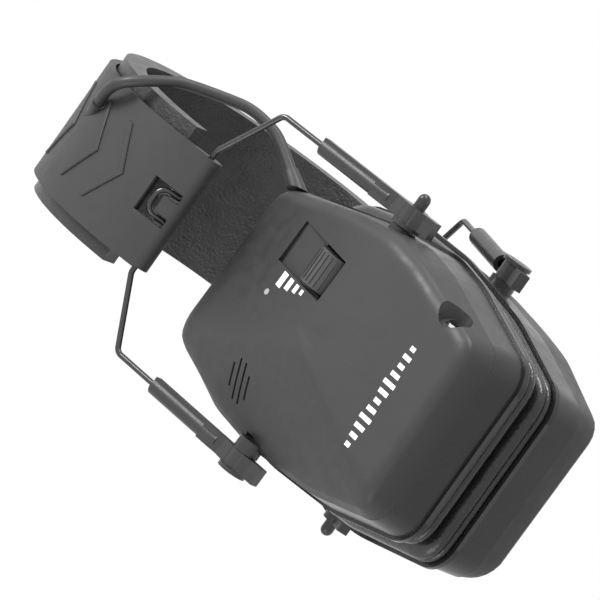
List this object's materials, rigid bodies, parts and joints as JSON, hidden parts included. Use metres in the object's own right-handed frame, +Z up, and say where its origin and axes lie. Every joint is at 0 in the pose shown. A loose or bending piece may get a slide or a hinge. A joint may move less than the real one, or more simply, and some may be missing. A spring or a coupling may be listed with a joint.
{
  "type": "earmuff hearing protector",
  "caption": "Electronic over-ear hearing protector with padded headband, wire yokes, sliding arms and two slim ear cups.",
  "frame": {"origin": "under the middle of the two ear cups, on the plane they stand on", "axes": "+Z up to the crown of the headband, +X towards the wearer's left cup, -Y the way the wearer faces"},
  "size_m": [0.1314, 0.106, 0.2265],
  "materials": {
    "cover_plastic": "fine matte texture",
    "shell_plastic": "semi-gloss",
    "arm_plastic": "semi-gloss",
    "plate_plastic": "gloss",
    "cushion_leather": "smooth gloss",
    "band_leather": "grained",
    "foam": "open-cell foam",
    "wire_paint": "gloss black",
    "spring_steel": "blued",
    "screw_steel": "zinc plated",
    "rubber": "satin",
    "speaker_body": "matte",
    "wheel_rubber": "satin",
    "mesh": "woven",
    "microphone_can": "satin",
    "board": "solder mask",
    "lamp": "clear",
    "ring_chrome": "polished",
    "contact_metal": "plated",
    "battery_wrap": "printed sleeve"
  },
  "bodies": {
    "headband": {"headband_cover": "cover_plastic", "headband_spring": "spring_steel", "headband_pad": "band_leather", "cable_grommets": "rubber", "left_link_cable": "rubber", "right_link_cable": "rubber"},
    "left_yoke": {"left_yoke_wire": "wire_paint"},
    "right_yoke": {"right_yoke_wire": "wire_paint"},
    "left_arms": {"left_front_arm": "arm_plastic", "left_rear_arm": "arm_plastic"},
    "right_arms": {"right_front_arm": "arm_plastic", "right_rear_arm": "arm_plastic"},
    "left_cup": {"left_shell": "shell_plastic", "left_cover": "cover_plastic", "left_cushion_plate": "plate_plastic", "left_ear_cushion": "cushion_leather", "left_foam_insert": "foam", "left_speaker": "speaker_body", "left_speaker_bracket": "speaker_body", "left_cover_screws": "screw_steel", "left_microphone": "microphone_can", "left_microphone_mesh": "mesh", "left_cable_boot": "rubber", "volume_control": "speaker_body", "circuit_board": "board", "status_lamp": "lamp", "headphone_socket": "speaker_body", "socket_ring": "ring_chrome"},
    "volume_dial": {"volume_wheel": "wheel_rubber"},
    "right_cup": {"right_shell": "shell_plastic", "right_cover": "cover_plastic", "right_cushion_plate": "plate_plastic", "right_ear_cushion": "cushion_leather", "right_foam_insert": "foam", "right_speaker": "speaker_body", "right_speaker_bracket": "speaker_body", "right_cover_screws": "screw_steel", "right_microphone": "microphone_can", "right_microphone_mesh": "mesh", "right_cable_boot": "rubber", "batteries": "battery_wrap", "battery_contacts": "contact_metal", "battery_tray": "speaker_body"},
    "battery_flap": {"battery_door": "cover_plastic"}
  },
  "joints": [
    {"name": "left_spread", "type": "hinge", "parent": "headband", "child": "left_yoke", "pos_m": [0.04514, 0, 0.1359], "axis": [0, -1, 0], "range_deg": [0, 20], "stiffness_Nm_per_rad": 1.2, "springref_deg": -5.73, "deforming": ["left_link_cable"]},
    {"name": "left_height", "type": "slide", "parent": "left_yoke", "child": "left_arms", "axis": [0.3308, 0, 0.9437], "range_m": [0, 0.006], "deforming": ["left_link_cable"]},
    {"name": "left_tilt", "type": "hinge", "parent": "left_arms", "child": "left_cup", "pos_m": [0.022, 0, 0.07], "axis": [0, -1, 0], "range_deg": [-20, 0], "deforming": ["left_link_cable"]},
    {"name": "right_spread", "type": "hinge", "parent": "headband", "child": "right_yoke", "pos_m": [-0.04514, 0, 0.1359], "axis": [0, 1, 0], "range_deg": [0, 20], "stiffness_Nm_per_rad": 1.2, "springref_deg": -5.73, "deforming": ["right_link_cable"]},
    {"name": "right_height", "type": "slide", "parent": "right_yoke", "child": "right_arms", "axis": [-0.3308, 0, 0.9437], "range_m": [0, 0.006], "deforming": ["right_link_cable"]},
    {"name": "right_tilt", "type": "hinge", "parent": "right_arms", "child": "right_cup", "pos_m": [-0.022, 0, 0.07], "axis": [0, 1, 0], "range_deg": [-20, 0], "deforming": ["right_link_cable"]},
    {"name": "volume_turn", "type": "hinge", "parent": "left_cup", "child": "volume_dial", "pos_m": [0.0267, 0.0161, 0.0795], "axis": [0, 1, 0], "range_deg": [0, 270]},
    {"name": "battery_door_hinge", "type": "hinge", "parent": "right_cup", "child": "battery_flap", "pos_m": [-0.0335, 0, 0.02995], "axis": [0, -1, 0], "range_deg": [0, 100]}
  ],
  "couplings": [
    {"joint": "left_tilt", "follows": "left_spread", "ratio": -1},
    {"joint": "right_tilt", "follows": "right_spread", "ratio": -1}
  ]
}
